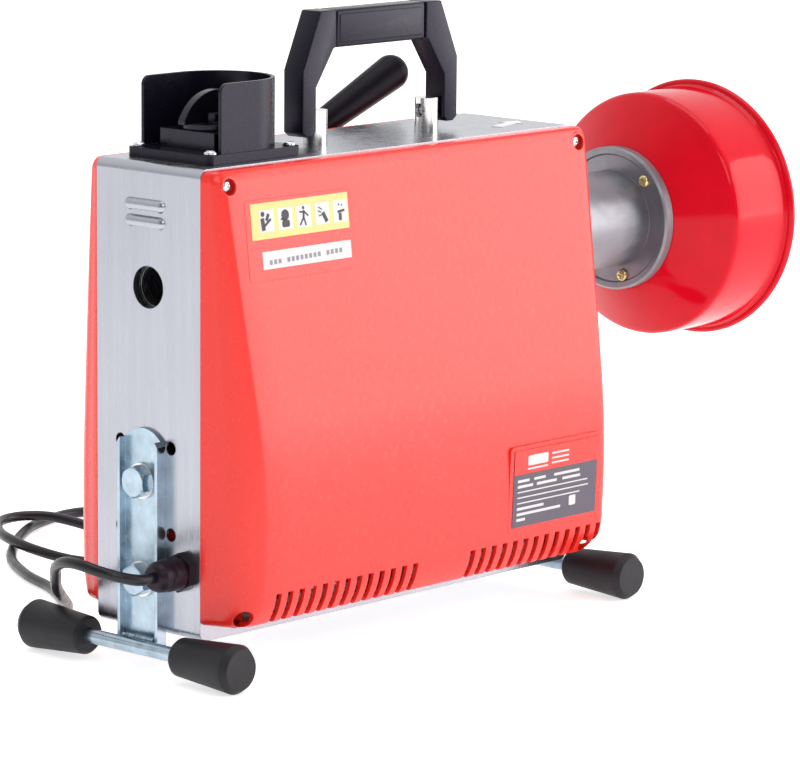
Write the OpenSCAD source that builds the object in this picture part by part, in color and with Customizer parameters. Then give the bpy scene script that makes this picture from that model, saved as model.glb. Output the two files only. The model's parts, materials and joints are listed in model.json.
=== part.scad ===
// Sectional drain cleaning machine.
// A sheet metal frame carries a motor, a belt drive and a hollow spindle. The drain
// cable enters through the hole in the front wall, passes through the spindle and
// leaves through the bowl guard at the rear. A side lever draws a sleeve over three
// jaws, which grip the cable so that it turns with the spindle.
// +X runs along the spindle towards the bowl, +Y to the lever side and +Z up. The
// origin is on the floor, under the middle of the machine without its power cord.

/* [Frame] */
// Length of the sheet frame, along the spindle
frame_l = 366; // [360:1:372]
// Width of the sheet frame
frame_w = 96; // [92:1:100]
// Height of the sheet frame
frame_h = 310; // [306:1:316]
// Thickness of the frame sheet
sheet_t = 2.5; // [2:0.5:3]
// Outer bend radius of the frame
bend_r = 6; // [5:1:9]
// Width of the side returns that the covers screw to
return_w = 18; // [17:1:18]
// Height of the spindle axis above the bottom of the frame
spindle_z = 229; // [227:1:231]
// Diameter of the cable hole in the front wall
inlet_d = 28; // [26:1:30]

/* [Side covers] */
// Length of each side cover
cover_l = 370; // [368:1:374]
// How far each cover stands out near its top
cover_top_t = 13; // [12:1:15]
// How far each cover stands out at its widest height
cover_max_t = 36.5; // [34:0.5:38]
// Wall thickness of the covers
cover_wall = 3; // [2.5:0.5:3.5]
// Slots in each of the two groups of cooling slots
vent_count = 13; // [8:1:13]
// Distance between neighbouring cooling slots
vent_pitch = 11; // [10:0.5:11]
// Width of a cooling slot
vent_w = 5; // [4:0.5:6]

/* [Feet] */
// Diameter of the round foot bar
bar_d = 10; // [8:1:12]
// Largest diameter of a rubber foot
foot_d = 33; // [30:1:36]
// Half of the width over the rubber feet
foot_reach = 98.5; // [96:0.5:104]
// Width of the foot bracket channel
channel_w = 37.5; // [36:0.5:38.5]
// Sideways offset of the brackets and their hole pattern
bracket_y = 2.5; // [1:0.5:3]

/* [Bowl guard] */
// Diameter of the round bowl wall
bowl_d = 177; // [170:1:182]
// Diameter over the rolled rim
rim_d = 188; // [184:1:190]
// Distance from the frame's front face to the rim
rim_x = 565; // [560:1:570]
// Diameter of the cast neck
neck_d = 70; // [69:0.5:72]
// Diameter of the neck's end flange
flange_d = 104; // [100:1:108]

/* [Spindle and clutch] */
// Bore of the hollow spindle
spindle_bore = 27; // [26:0.5:28]
// Distance that the lever draws the clutch sleeve
sleeve_travel = 16.3; // [16:0.1:16.5]
// Distance that each jaw moves inwards
jaw_travel = 5.5; // [4.5:0.1:5.5]

/* [Lever] */
// Angle of the lever above the horizontal at rest, in degrees
lever_rise = 23.7; // [22:0.1:25]
// Length of the lever, from its pivot to the free end
lever_l = 156; // [150:1:160]
// Distance of the grip's axis from the middle plane
lever_y = 84; // [83:1:86]

/* [Handle and switch] */
// Length of the carry handle
handle_l = 154; // [150:1:158]
// Depth of the carry handle
handle_w = 18; // [16:1:20]
// Height of the switch guard's wall
guard_h = 45.5; // [42:0.5:48]

/* [Power cord] */
// Diameter of the power cord
cord_d = 7.5; // [7.5:0.5:8]

/* [Hidden] */
$fn = 64;
eps = 0.01;

// Places in the machine's own frame, whose origin is at the bottom of the front wall.
bar_x = -8 - bar_d / 2;
bar_z = -8;
floor_gap = foot_d / 2 - bar_z;
front_x = -(rim_x + bar_x - foot_d / 2) / 2;
half_w = frame_w / 2;
rear_x = frame_l;

// Running parts.
fit_gap = 0.04;
spindle_r = 17.5;
bearing_r = 31;
bearing_w = 14;
front_bearing_x = 8;
rear_bearing_x = 450;
pulley_x = 34;
pulley_w = 20;
motor_z = 95;
motor_r = 58;
motor_x0 = 84;
motor_x1 = 236;
shaft_r = 7.5;
belt_half_w = 4;
driven_r = 46;
drive_r = 20;
belt_seat = 7.4;
belt_t = 6;

// Lever and clutch.
pivot_x = 190;
pivot_z = 281;
fork_l = pivot_z - spindle_z;
lever_swing = 18;
pin_x = pivot_x + sleeve_travel / 2;
lever_shaft_r = 7;
jaw_x0 = 407;
jaw_l = 23;
jaw_w = 11;
heel_l = 4;
heel_r = 28.2;
head_r = 22;
sleeve_end = 433;
cone_big_r = heel_r + 0.3;
cone_x = jaw_x0 + heel_l;
bowl_screw_angles = [15, 135, 255];
bowl_screw_ring = 42;

// Bracket holes and bolts, as heights above the bottom of the frame.
bolt_zs = [35.5, 101];
pattern_zs = [67.5, 125];
pattern_dy = 23.5;
pattern_d = 9;
bolt_d = 12;
bolt_hole_d = 13;
web_t = 2.5;
channel_depth = 8;

// Switch, handle and gland places.
switch_x = 60.5;
plate_l = 85;
plate_w = 77;
plate_t = 6.5;
block_t = 12;
switch_depth = 28;
handle_x = 212;
leg_t = 13.2;
post_r = 8.25;
post_h = 22.6;
post_dx = handle_l / 2 - leg_t - post_r;
gland_y = -33;
gland_z = 45;
gland_l = 29.25;

// Cover outline.
cover_z0 = 11;
cover_z1 = 309;
cover_top_z = 300;
cover_max_z = 98;
cover_low_z = 38;
cover_low_t = 34;
cover_low_r = 46;
cover_low_angle = 34;
cover_nose_r = 19;
cover_screw_at = [[14, 299], [358, 299], [15, 17], [352, 17]];
screw_seat = 8;
vent_groups = [37, 227];
vent_top = 31.5;
slope_up = atan((cover_max_t - cover_top_t) / (cover_top_z - cover_max_z));
slope_low = atan((cover_max_t - cover_low_t) / (cover_max_z - cover_low_z));

// Power cord, in the part's own frame: it leaves the gland, arches over the side of
// the front bracket, drops to the floor and lies in two loops behind the machine.
cord_route = [
    [-297, -33, 69.5], [-308.5, -32.2, 70], [-320, -27, 73], [-328.5, -17, 76.5],
    [-332.5, -3, 79.5], [-331, 12.5, 78.5], [-323.5, 28.5, 72], [-311, 43, 61],
    [-294, 60, 48], [-271, 79.5, 35.5], [-241, 106, 20.5], [-210, 141, 7.5],
    [-183, 174, 4], [-161.5, 209, 4], [-146, 249, 4], [-119, 295, 4],
    [-79, 335, 4], [-36, 368, 4], [-3, 382, 4], [24, 387, 4],
    [45.5, 380.5, 4], [59, 367.5, 4], [63.5, 350, 4], [58.5, 332.5, 4],
    [46, 320, 4], [28.5, 315, 4], [11, 319.5, 4.5], [-3, 331.5, 6],
    [-10, 347.5, 9], [-18.5, 363, 11.7], [-32, 374.2, 12.5], [-49, 376.5, 12.5],
    [-65.5, 368.5, 12.3], [-82, 349, 12], [-95.5, 323, 12], [-98, 290, 8.5],
    [-86, 255, 4], [-56, 220, 4], [-10, 189, 4], [42, 178, 4]];
coil_centre = [60, 230];
coil_r = 45;
coil_half_w = 1.5 * cord_d + 0.25;
coil_h = 2 * cord_d + 0.5;
plug_at = [136, 182, 10];

function arc(cx, cy, r, a0, a1, n) =
    [for (i = [0 : n]) let (a = a0 + (a1 - a0) * i / n) [cx + r * cos(a), cy + r * sin(a)]];
function cover_t(z) = z > cover_max_z
    ? cover_max_t - (cover_max_t - cover_top_t) * (z - cover_max_z) / (cover_top_z - cover_max_z)
    : cover_max_t - (cover_max_t - cover_low_t) * (cover_max_z - z) / (cover_max_z - cover_low_z);

// ---- helpers -------------------------------------------------------------------

module at_frame() translate([front_x, 0, floor_gap]) children();

module rod_x(x0, x1, r, y = 0, z = 0)
    translate([x0, y, z]) rotate([0, 90, 0]) cylinder(h = x1 - x0, r = r);

module rod_y(y0, y1, r, x = 0, z = 0)
    translate([x, y0, z]) rotate([-90, 0, 0]) cylinder(h = y1 - y0, r = r);

// A body turned about the X axis, from points [radius, x].
module turn_x(points, y = 0, z = 0)
    translate([0, y, z]) rotate([0, 90, 0]) rotate_extrude($fn = 96) polygon(points);

module ring_x(x0, x1, ro, ri, y = 0, z = 0)
    turn_x([[ri, x0], [ro, x0], [ro, x1], [ri, x1]], y, z);

module round_rect(x0, y0, x1, y1, r) {
    translate([x0 + r, y0]) square([x1 - x0 - 2 * r, y1 - y0]);
    translate([x0, y0 + r]) square([x1 - x0, y1 - y0 - 2 * r]);
    for (x = [x0 + r, x1 - r], y = [y0 + r, y1 - r]) translate([x, y]) circle(r = r);
}

// Stands an XZ outline up and gives it depth from y0 to y1.
module depth_y(y0, y1) translate([0, y1, 0]) rotate([90, 0, 0]) linear_extrude(y1 - y0) children();

module hex_x(x0, x1, across, y, z)
    translate([x0, y, z]) rotate([0, 90, 0]) cylinder(h = x1 - x0, d = across / cos(30), $fn = 6);

module mirror_rear() translate([frame_l, 0, 0]) mirror([1, 0, 0]) children();

// ---- frame ---------------------------------------------------------------------

module frame_outline(inset, r) round_rect(inset, inset, frame_l - inset, frame_h - inset, r);

module louvre(z) {
    difference() {
        union() {
            rod_y(bracket_y - 14, bracket_y + 14, 4.5, 1.5, z);
            for (s = [-1, 1]) translate([1.5, bracket_y + s * 14, z]) sphere(r = 4.5, $fn = 32);
        }
        rod_y(bracket_y - 14, bracket_y + 14, 3, 1.5, z);
        translate([sheet_t, bracket_y - 20, z - 6]) cube([6, 40, 12]);
        translate([-4, bracket_y - 13, z - 5]) cube([5, 26, 2]);
    }
}

module frame_holes() {
    rod_x(-1, 8, inlet_d / 2, 0, spindle_z);
    rod_x(rear_x - 4, rear_x + 1, 31.5, 0, spindle_z);
    for (x = [-1, rear_x - 4]) {
        for (z = bolt_zs) rod_x(x, x + 5, bolt_hole_d / 2, bracket_y, z);
        for (z = pattern_zs, s = [-1, 1])
            rod_x(x, x + 5, pattern_d / 2, bracket_y + s * pattern_dy, z);
    }
    for (a = [45 : 90 : 315])
        rod_x(rear_x - 4, rear_x + 1, 2.6, 40.5 * cos(a), spindle_z + 40.5 * sin(a));
    rod_x(-1, 4, 8, gland_y, gland_z);
    translate([switch_x - 24, -24, frame_h - 4]) cube([48, 48, 5]);
    for (s = [-1, 1]) translate([handle_x + s * post_dx, 0, frame_h - 4]) cylinder(h = 5, r = 4.2);
    for (x = [-36.5, 36.5], y = [-33, 33]) translate([switch_x + x, y, frame_h - 4]) cylinder(h = 5, r = 2);
    for (s = [-1, 1], p = cover_screw_at)
        rod_y(s * half_w - 4, s * half_w + 4, 2.1, p[0], p[1]);
    for (x = [120 : 20 : 240]) translate([x, -22, -1]) cube([6, 44, 4]);
}

module frame_shell() color("lightgray") at_frame() difference() {
    union() {
        depth_y(-half_w, half_w) difference() {
            frame_outline(0, bend_r);
            frame_outline(sheet_t, bend_r - sheet_t);
        }
        for (s = [0, 1]) mirror([0, s, 0]) depth_y(half_w - sheet_t, half_w) difference() {
            frame_outline(0, bend_r);
            frame_outline(return_w, 4);
        }
        ring_x(sheet_t, 6, inlet_d / 2 + 2, inlet_d / 2, 0, spindle_z);
        for (z = [271.5, 282.5]) louvre(z);
    }
    frame_holes();
}

// ---- side covers ---------------------------------------------------------------

// Outer form of the lever side cover, or the hollow inside it when inset is the wall.
module cover_form(inset) {
    y0 = half_w - (inset > 0 ? 1 : 0);
    top_y = half_w + cover_top_t - inset;
    max_y = half_w + cover_max_t - inset;
    low_y = half_w + cover_low_t - inset;
    z0 = cover_z0 + inset;
    z1 = cover_z1 - inset;
    low_r = cover_low_r - inset;
    low_a = cover_low_angle - (inset > 0 ? 2 : 0);
    nose_r = cover_nose_r - inset;
    nose_x = cover_nose_r + 5;
    intersection() {
        translate([cover_l, 0, 0]) rotate([90, 0, -90]) linear_extrude(cover_l)
            polygon(concat([[-y0, z0], [-(low_y - 10), z0]],
                [for (p = arc(low_y - low_r, cover_low_z, low_r, -low_a, 0, 6)) [-p[0], p[1]]],
                [[-max_y, cover_max_z], [-top_y, cover_top_z],
                 [-(top_y - 4), z1], [-y0, z1]]));
        linear_extrude(frame_h)
            polygon(concat([[inset, y0], [inset, half_w + 1]],
                arc(nose_x, max_y - nose_r, nose_r, 180, 90, 5),
                arc(cover_l - 8, max_y - 8 + inset, 8 - inset, 90, 0, 3), [[cover_l - inset, y0]]));
        depth_y(half_w - 2, half_w + cover_max_t + 1)
            polygon(concat([[inset, z0 + 3], [inset + 3, z0], [cover_l - inset - 12, z0],
                [cover_l - inset, z0 + 10]],
                arc(cover_l - inset - 6, z1 - 6, 6, 0, 90, 4), arc(inset + 6, z1 - 6, 6, 90, 180, 4)));
    }
}

module cover(shaft_hole) difference() {
    union() {
        difference() {
            cover_form(0);
            cover_form(cover_wall);
        }
        intersection() {
            cover_form(0);
            for (p = cover_screw_at) rod_y(half_w, half_w + cover_max_t, 7.5, p[0], p[1]);
        }
    }
    for (p = cover_screw_at) {
        rod_y(half_w - 1, half_w + cover_max_t + 1, 2.2, p[0], p[1]);
        rod_y(half_w + screw_seat, half_w + cover_max_t + 1, 5.5, p[0], p[1]);
    }
    for (x0 = vent_groups, i = [0 : vent_count - 1])
        translate([x0 + i * vent_pitch, half_w + 16, 0]) cube([vent_w, cover_max_t, vent_top]);
    if (shaft_hole) rod_y(half_w - 1, half_w + cover_max_t, 9, pivot_x, pivot_z);
}

module near_cover() color("red") at_frame() mirror([0, 1, 0]) cover(false);

module far_cover() color("red") at_frame() cover(true);

module cover_screws() color("silver") at_frame()
    for (s = [0, 1], p = cover_screw_at) mirror([0, s, 0]) difference() {
        union() {
            rod_y(half_w - 8, half_w + screw_seat, 2, p[0], p[1]);
            rod_y(half_w + screw_seat, half_w + screw_seat + 2.6, 4, p[0], p[1]);
        }
        translate([p[0] - 2, half_w + screw_seat + 1.2, p[1] - 0.5]) cube([4, 2, 1]);
        translate([p[0] - 0.5, half_w + screw_seat + 1.2, p[1] - 2]) cube([1, 2, 4]);
    }

// A thin plate on the near cover, from x0 to x1 and z0 to z1, tilted as the wall is.
module cover_plate(x0, x1, z0, z1, tilt, t)
    translate([x0, -half_w - cover_t(z0), z0]) rotate([-tilt, 0, 0])
        translate([0, -t, 0]) cube([x1 - x0, t, z1 - z0]);

module hazard_label() color("gold") at_frame() cover_plate(30, 121, 263, 286.5, slope_up, 0.4);

module serial_label() color("white") at_frame() cover_plate(38, 121, 243.5, 255, slope_up, 0.4);

module rating_plate() color("dimgray") at_frame() cover_plate(268, 356, 41, 95, -slope_low, 0.5);

module arrow_label() color("gainsboro") at_frame()
    translate([314, -24, frame_h]) rotate([0, 0, 20]) linear_extrude(0.3)
        polygon([[0, -4], [26, -4], [26, -9], [40, 0], [26, 9], [26, 4], [0, 4]]);

// ---- feet ----------------------------------------------------------------------

module foot_bracket() {
    hw = channel_w / 2;
    difference() {
        intersection() {
            translate([-channel_depth, bracket_y - hw, bar_z - 1])
                cube([channel_depth, channel_w, 150]);
            union() {
                translate([-20, bracket_y - 30, bar_z - 2]) cube([40, 60, 122 - bar_z]);
                rod_x(-20, 20, 22, bracket_y, 114);
            }
        }
        translate([-channel_depth - 1, bracket_y - hw + web_t, bar_z - 2])
            cube([channel_depth + 1 - web_t, channel_w - 2 * web_t, 160]);
        for (z = bolt_zs) rod_x(-20, 5, bolt_hole_d / 2, bracket_y, z);
    }
    rod_y(-foot_reach + 8, foot_reach - 8, bar_d / 2, bar_x, bar_z);
    for (s = [-1, 1]) translate([bar_x, bracket_y + s * (hw - web_t / 2) - web_t / 2, bar_z - 1])
        cube([6, web_t, 5]);
}

module front_foot_bracket() color("lightsteelblue") at_frame() foot_bracket();

module rear_foot_bracket() color("lightsteelblue") at_frame() mirror_rear() foot_bracket();

module rubber_foot() rotate([-90, 0, 0]) rotate_extrude($fn = 64) polygon([
    [bar_d / 2, 43], [11.5, 43], [13, 45], [foot_d / 2, foot_reach - 4.5],
    [foot_d / 2 - 3, foot_reach], [0, foot_reach], [0, foot_reach - 8], [bar_d / 2, foot_reach - 8]]);

module rubber_feet() color("black") at_frame()
    for (x = [bar_x, frame_l - bar_x], s = [0, 1])
        translate([x, 0, bar_z]) mirror([0, s, 0]) rubber_foot();

module both_ends() {
    children();
    mirror_rear() children();
}

module bracket_bolts() color("lightsteelblue") at_frame() both_ends() for (z = bolt_zs) {
    intersection() {
        hex_x(-web_t - 10, -web_t - 2.5, 19, bracket_y, z);
        turn_x([[0, -web_t - 10], [9.4, -web_t - 10], [11, -web_t - 8.8], [11, -web_t - 2.5],
            [0, -web_t - 2.5]], bracket_y, z);
    }
    rod_x(-web_t - 2.5, 16, bolt_d / 2, bracket_y, z);
}

module bracket_washers() color("silver") at_frame() both_ends() for (z = bolt_zs)
    ring_x(-web_t - 2.5, -web_t, 12, bolt_hole_d / 2, bracket_y, z);

module bracket_nuts() color("silver") at_frame() both_ends() for (z = bolt_zs) difference() {
    hex_x(sheet_t, sheet_t + 10, 19, bracket_y, z);
    rod_x(sheet_t - 1, sheet_t + 11, bolt_d / 2, bracket_y, z);
}

// ---- switch --------------------------------------------------------------------

module guard_plan(r) {
    translate([30 - switch_x, -r]) square([64.5 - 30, 2 * r]);
    translate([64.5 - switch_x, 0]) circle(r = r);
}

module switch_guard() color("#262329") at_frame() translate([switch_x, 0, frame_h]) {
    difference() {
        union() {
            linear_extrude(plate_t) round_rect(-plate_l / 2, -plate_w / 2, plate_l / 2, plate_w / 2, 4);
            linear_extrude(plate_t + guard_h) guard_plan(37);
        }
        translate([0, 0, plate_t]) linear_extrude(guard_h + 1) guard_plan(34.5);
        translate([-50, -34.5, plate_t]) cube([40, 69, guard_h + 1]);
        translate([-24, -24, -1]) cube([48, 48, plate_t + 2]);
        for (x = [-36.5, 36.5], y = [-33, 33]) translate([x, y, -1]) cylinder(h = 20, r = 2.2);
        for (y = [-33, 33]) translate([36.5, y, plate_t]) cylinder(h = guard_h + 1, r = 4.4);
        difference() {
            translate([30 - switch_x - 1, -40, plate_t + guard_h - 6]) cube([7, 80, 7]);
            rod_y(-41, 41, 6, 36 - switch_x, plate_t + guard_h - 6);
        }
    }
}

module guard_screws() color("silver") at_frame() translate([switch_x, 0, frame_h])
    for (x = [-36.5, 36.5], y = [-33, 33]) translate([x, y, 0]) difference() {
        union() {
            translate([0, 0, -8]) cylinder(h = 8 + plate_t, r = 2);
            translate([0, 0, plate_t]) cylinder(h = 2.6, r = 4);
        }
        translate([-2, -0.5, plate_t + 1.4]) cube([4, 1, 2]);
        translate([-0.5, -2, plate_t + 1.4]) cube([1, 4, 2]);
    }

module switch_body() color("#1c1b20") at_frame() translate([switch_x, 0, frame_h]) difference() {
    union() {
        translate([-25, -25, plate_t]) cube([50, 50, block_t]);
        translate([-23, -23, -switch_depth]) cube([46, 46, switch_depth + plate_t]);
    }
    translate([0, 0, plate_t + block_t - 6]) cylinder(h = 7, r = 4 + fit_gap);
}

module switch_knob() color("#2b2a30") at_frame()
    translate([switch_x, 0, frame_h + plate_t + block_t]) {
        translate([0, 0, -5]) cylinder(h = 5.4, r = 4);
        translate([0, 0, 0.4]) cylinder(h = 3.6, r = 23);
        translate([0, 0, 4]) cylinder(h = 6, r = 9);
        translate([0, 3, 4]) rotate([90, 0, 0]) linear_extrude(6) intersection() {
            translate([-30, 0]) square([60, 21.5]);
            translate([0, -12]) circle(r = 33.4, $fn = 96);
        }
    }

// ---- carry handle --------------------------------------------------------------

module handle_posts() color("gainsboro") at_frame() for (s = [0, 1])
    translate([handle_x, 0, frame_h]) mirror([s, 0, 0]) difference() {
        translate([post_dx, 0, 0]) cylinder(h = post_h, r = post_r);
        translate([post_dx, 0, -1]) cylinder(h = 9, r = 3);
        rod_x(post_dx - 10, post_dx + 10, 2.6, 0, 14);
        rod_x(post_dx - 10, post_dx + 2, 4.7, 0, 14);
    }

module post_screws() color("silver") at_frame() for (s = [-1, 1])
    translate([handle_x + s * post_dx, 0, frame_h]) {
        translate([0, 0, -sheet_t]) cylinder(h = sheet_t + 8, r = 3);
        translate([0, 0, -sheet_t - 5]) cylinder(h = 5, r = 6);
    }

module handle_outline() {
    a = handle_l / 2;
    b = a - leg_t;
    polygon([[-a, 8], [-a + 5, 5.6], [-b - 3, 5.6], [-b, 8], [-b, 38.5], [-b + 17, 64],
        [b - 17, 64], [b, 38.5], [b, 8], [b + 3, 5.6], [a - 5, 5.6], [a, 8], [a, 50.3],
        [a - 17, 89.5], [-a + 17, 89.5], [-a, 50.3]]);
}

module handle_body() color("#34313a") at_frame() translate([handle_x, 0, frame_h]) difference() {
    depth_y(-handle_w / 2, handle_w / 2) handle_outline();
    grip_zone();
    for (s = [0, 1]) mirror([s, 0, 0])
        rod_x(handle_l / 2 - leg_t - 1, handle_l / 2 - 2.5, 2.5, 0, 14);
}

// The middle of the bar, where the grip clips in.
module grip_zone() translate([-44.5, -20, 60]) cube([89, 40, 40]);

module handle_grip() color("#2c2930") at_frame() translate([handle_x, 0, frame_h]) intersection() {
    depth_y(-handle_w / 2, handle_w / 2) handle_outline();
    grip_zone();
}

module handle_screws() color("silver") at_frame() translate([handle_x, 0, frame_h + 14])
    for (s = [0, 1]) mirror([s, 0, 0]) difference() {
        union() {
            rod_x(post_dx - 3, post_dx + 2, 4.2);
            rod_x(post_dx + 2, handle_l / 2 - 2.5, 2.5);
        }
        hex_x(post_dx - 4, post_dx, 4, 0, 0);
    }

// ---- lever and clutch ----------------------------------------------------------

module at_pivot() at_frame() translate([pivot_x, 0, pivot_z]) children();

module lever_bracket() color("slategray") at_pivot() {
    translate([-25, -30, 22.5]) cube([50, 60, 4]);
    for (s = [0, 1]) mirror([0, s, 0]) difference() {
        translate([-14, 20, -12]) cube([28, 6, 34.5]);
        rod_y(19, 27, 9);
    }
}

module lever_bushes() color("darkgoldenrod") at_pivot() for (s = [0, 1]) mirror([0, s, 0])
    difference() {
        rod_y(19.5, 27, 9);
        rod_y(19, 28, lever_shaft_r + fit_gap);
    }

module lever_shaft() color("silver") at_pivot() rod_y(-50, lever_y + 8, lever_shaft_r);

module lever_axis() translate([0, lever_y, 0]) rotate([0, 90 - lever_rise, 0]) children();

module lever_arm() color("dimgray") at_pivot() difference() {
    union() {
        rod_y(66, lever_y + 8, 13);
        lever_axis() cylinder(h = lever_l - 16, r = 6);
    }
    rod_y(60, lever_y + 9, lever_shaft_r);
}

module lever_grip() color("#201f24") at_pivot() lever_axis() rotate_extrude($fn = 64)
    polygon(concat([[6, 44], [8.1, 44], [8.9, 46], [12.7, lever_l - 12]],
        arc(0.7, lever_l - 12, 12, 6, 84, 8),
        [[0, lever_l], [0, lever_l - 16], [6, lever_l - 16]]));

module clutch_fork() color("slategray") at_pivot() rotate([0, -lever_swing / 2, 0])
    for (s = [0, 1]) mirror([0, s, 0]) difference() {
        union() {
            rod_y(40.5, 46.5, 10);
            translate([-9, 40.5, -fork_l - 11]) cube([18, 6, fork_l + 11]);
        }
        rod_y(40, 47, lever_shaft_r);
        translate([-4.5, 40, -fork_l - 12]) cube([9, 7, 18]);
    }

module at_spindle() at_frame() translate([0, 0, spindle_z]) children();

module thrust_collar() color("steelblue") at_spindle() {
    ring_x(pin_x - 10, pin_x + 10, 38.5, 34);
    for (s = [0, 1]) mirror([0, s, 0]) rod_y(36, 47.5, 4, pin_x);
}

module release_bearing() color("lightgray") at_spindle()
    ring_x(pin_x - 7.5, pin_x + 7.5, 34, 19.95 + fit_gap);

// Tube over the spindle with a conical bell that closes over the jaw heels.
module clutch_sleeve() color("steelblue") at_spindle() {
    ri = spindle_r + fit_gap;
    small_r = cone_big_r - jaw_travel;
    turn_x([[ri, pin_x - 12], [22, pin_x - 12], [22, pin_x - 8], [19.95, pin_x - 8],
        [19.95, pin_x + 8], [21.5, pin_x + 8], [21.5, 392], [30, 398], [30, sleeve_end],
        [small_r, sleeve_end], [small_r, cone_x + sleeve_travel], [cone_big_r, cone_x],
        [cone_big_r, 400], [ri, 400]]);
}

module jaw_head() color("darkgray") at_spindle() difference() {
    turn_x([[spindle_bore / 2, 401], [head_r, 401], [head_r, 440], [spindle_r, 444],
        [spindle_r, 481], [spindle_r - 1, 482], [spindle_bore / 2, 482]]);
    for (a = [90, 210, 330]) rotate([a - 90, 0, 0])
        translate([jaw_x0 - 0.3, -jaw_w / 2 - 0.3, 8]) cube([jaw_l + 0.6, jaw_w + 0.6, 20]);
}

module jaw(a) at_spindle() rotate([a - 90, 0, 0]) {
    translate([jaw_x0, -jaw_w / 2, 14]) cube([jaw_l, jaw_w, 7.7]);
    translate([jaw_x0, -jaw_w / 2, 14]) cube([heel_l, jaw_w, heel_r - 14.7]);
}

module jaw_1() color("gray") jaw(90);

module jaw_2() color("gray") jaw(210);

module jaw_3() color("gray") jaw(330);

// ---- spindle and belt drive ----------------------------------------------------

module spindle() color("silver") at_spindle() ring_x(7, 401, spindle_r, spindle_bore / 2);

module spindle_bearings() color("lightgray") at_spindle() for (x = [front_bearing_x, rear_bearing_x])
    ring_x(x, x + bearing_w, bearing_r, spindle_r + fit_gap);

module front_bearing_housing() color("darkgray") at_spindle() turn_x([
    [20, sheet_t], [42, sheet_t], [42, 8], [36, 9], [36, 22], [bearing_r, 22],
    [bearing_r, front_bearing_x], [20, front_bearing_x]]);

// A grooved pulley whose hub stands proud of its rim on both sides.
module pulley(outer, hub, bore) {
    x0 = pulley_x;
    x1 = pulley_x + pulley_w;
    xm = (x0 + x1) / 2;
    turn_x([[bore, x0], [hub, x0], [hub, x0 + 2], [outer, x0 + 2], [outer, xm - 6.6],
        [outer - 8, xm - 4.6], [outer - 8, xm + 4.6], [outer, xm + 6.6], [outer, x1 - 2],
        [hub, x1 - 2], [hub, x1], [bore, x1]]);
}

module driven_pulley() color("dimgray") at_spindle() pulley(driven_r, 26, spindle_r);

module at_motor() at_frame() translate([0, 0, motor_z]) children();

module drive_pulley() color("dimgray") at_motor() pulley(drive_r, drive_r - 9, shaft_r);

module belt_loop(r1, r2) {
    span = spindle_z - motor_z;
    s = (r1 - r2) / span;
    c = sqrt(1 - s * s);
    translate([0, span]) circle(r = r1, $fn = 96);
    circle(r = r2, $fn = 96);
    polygon([[r1 * c, span + r1 * s], [r2 * c, r2 * s], [-r2 * c, r2 * s], [-r1 * c, span + r1 * s]]);
}

module drive_belt() color("#202020") at_motor()
    translate([pulley_x + pulley_w / 2 - belt_half_w, 0, 0]) rotate([90, 0, 90])
        linear_extrude(2 * belt_half_w) difference() {
            belt_loop(driven_r - belt_seat + belt_t, drive_r - belt_seat + belt_t);
            belt_loop(driven_r - belt_seat, drive_r - belt_seat);
        }

// ---- neck and bowl -------------------------------------------------------------

module neck_housing() color("darkgray") at_spindle() difference() {
    r = neck_d / 2;
    f = flange_d / 2;
    turn_x([[31.5, rear_x], [47, rear_x], [47, rear_x + 4], [r, rear_x + 4],
        [r, 468.6], [f - 6, 468.6], [f - 5, 467.2], [f - 1.5, 467], [f, 468.5], [f, 475],
        [bearing_r, 475], [bearing_r, rear_bearing_x], [26, rear_bearing_x], [26, 446], [31.5, 444]]);
    for (a = [45 : 90 : 315]) rod_x(rear_x - 1, rear_x + 6, 2.6, 40.5 * cos(a), 40.5 * sin(a));
    for (a = bowl_screw_angles)
        rod_x(466, 476, 2.6, bowl_screw_ring * cos(a), bowl_screw_ring * sin(a));
}

module neck_screws() color("silver") at_spindle() for (a = [45 : 90 : 315]) {
    rod_x(rear_x - 6, rear_x + 4, 2.5, 40.5 * cos(a), 40.5 * sin(a));
    rod_x(rear_x + 4, rear_x + 6.5, 4.5, 40.5 * cos(a), 40.5 * sin(a));
}

module bowl_guard() color("#c8102e") at_spindle() difference() {
    r = bowl_d / 2;
    q = rim_d / 2;
    turn_x([[20, 475], [52, 475], [r - 1, 502.5], [r, 505], [r, rim_x - 9], [q - 1, rim_x - 3],
        [q, rim_x - 1.5], [q - 1, rim_x], [q - 3, rim_x - 1], [r - 2, rim_x - 7], [r - 2, 506],
        [r - 3, 504], [51, 477], [20, 477]]);
    for (a = bowl_screw_angles)
        rod_x(470, 480, 2.6, bowl_screw_ring * cos(a), bowl_screw_ring * sin(a));
}

module bowl_screws() color("goldenrod") at_spindle() for (a = bowl_screw_angles)
    translate([0, bowl_screw_ring * cos(a), bowl_screw_ring * sin(a)]) {
        difference() {
            rod_x(466, 468.6, 4.5);
            translate([465, -2.4, -0.6]) cube([2.2, 4.8, 1.2]);
            translate([465, -0.6, -2.4]) cube([2.2, 1.2, 4.8]);
        }
        rod_x(468.6, 484, 2.5);
        difference() {
            hex_x(477, 481, 8, 0, 0);
            rod_x(476, 482, 2.5);
        }
    }

// ---- motor ---------------------------------------------------------------------

module motor_housing() color("slategray") at_motor() ring_x(motor_x0, motor_x1, motor_r, motor_r - 4);

// End bell with a bearing seat that opens inwards.
module end_bell() turn_x([[12, -14], [40, -14], [motor_r, -6], [motor_r, 0], [22, 0], [22, -2],
    [17.5, -2], [17.5, -12], [12, -12]]);

module motor_end_bells() color("darkgray") at_motor() {
    translate([motor_x0, 0, 0]) end_bell();
    translate([motor_x1, 0, 0]) mirror([1, 0, 0]) end_bell();
}

module motor_bearings() color("lightgray") at_motor() for (x = [motor_x0 - 12, motor_x1 + 2])
    ring_x(x, x + 10, 17.5, shaft_r + fit_gap);

module stator_core() color("sienna") at_motor() ring_x(110, 210, motor_r - 4, 33);

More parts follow.
